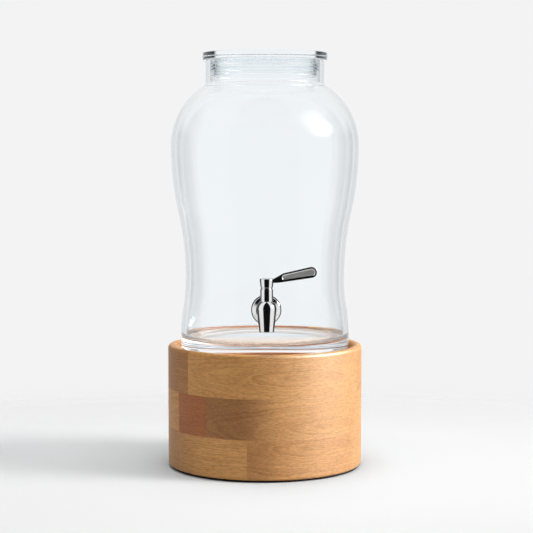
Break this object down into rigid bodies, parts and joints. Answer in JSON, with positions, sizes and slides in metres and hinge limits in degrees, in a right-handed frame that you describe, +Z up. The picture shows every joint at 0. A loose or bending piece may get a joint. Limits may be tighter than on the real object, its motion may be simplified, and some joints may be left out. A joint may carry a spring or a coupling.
{
  "type": "glass drink dispenser with tap",
  "caption": "Clear glass dispenser jar with a lift-off glass lid and a polished lever tap, standing in a round recessed stand of glued wood.",
  "frame": {"origin": "on the floor under the axis of the jar and the stand", "axes": "+Z up; the tap faces -Y, towards whoever pours; the closed lever points to +X"},
  "size_m": [0.206, 0.2262, 0.4372],
  "materials": {
    "clear_glass": "clear pressed soda-lime glass, fire polished",
    "clear_silicone": "translucent moulded silicone",
    "polished_stainless": "mirror polished stainless steel",
    "plain_stainless": "turned stainless steel",
    "white_ptfe": "turned white PTFE",
    "black_nitrile": "moulded black nitrile",
    "wood_honey": "sanded and oiled honey-brown hardwood",
    "wood_tan": "sanded and oiled tan hardwood",
    "wood_russet": "sanded and oiled russet hardwood",
    "wood_shelf": "sanded and oiled pale hardwood panel",
    "foot_rubber": "black foam rubber ring"
  },
  "bodies": {
    "stand": {"lower_stave_1": "wood_honey", "lower_stave_2": "wood_tan", "lower_stave_3": "wood_honey", "lower_stave_4": "wood_tan", "middle_stave_1": "wood_russet", "middle_stave_2": "wood_tan", "middle_stave_3": "wood_honey", "middle_stave_4": "wood_honey", "upper_stave_1": "wood_tan", "upper_stave_2": "wood_honey", "upper_stave_3": "wood_russet", "upper_stave_4": "wood_honey", "shelf_panel": "wood_shelf", "foot_ring": "foot_rubber"},
    "jar": {"glass_jar": "clear_glass", "tap_body": "polished_stainless", "tap_escutcheon": "polished_stainless", "outer_gasket": "black_nitrile", "inner_gasket": "clear_silicone", "clamp_washer": "plain_stainless", "lock_nut": "plain_stainless", "valve_seat": "white_ptfe", "gland_collar": "polished_stainless"},
    "lid": {"glass_lid": "clear_glass", "lid_seal": "clear_silicone"},
    "lever": {"lever_hub": "polished_stainless", "lever_arm": "polished_stainless", "hub_screw": "plain_stainless", "valve_plug": "plain_stainless", "plug_o_rings": "black_nitrile", "stop_pin": "plain_stainless"}
  },
  "joints": [
    {"name": "jar_lift", "type": "slide", "parent": "stand", "child": "jar", "axis": [0, 0, 1], "range_m": [0, 0.05]},
    {"name": "lid_lift", "type": "slide", "parent": "jar", "child": "lid", "axis": [0, 0, 1], "range_m": [0, 0.06]},
    {"name": "lever_turn", "type": "hinge", "parent": "jar", "child": "lever", "pos_m": [0, -0.11328, 0.204], "axis": [0, 0, -1], "range_deg": [0, 90]}
  ]
}
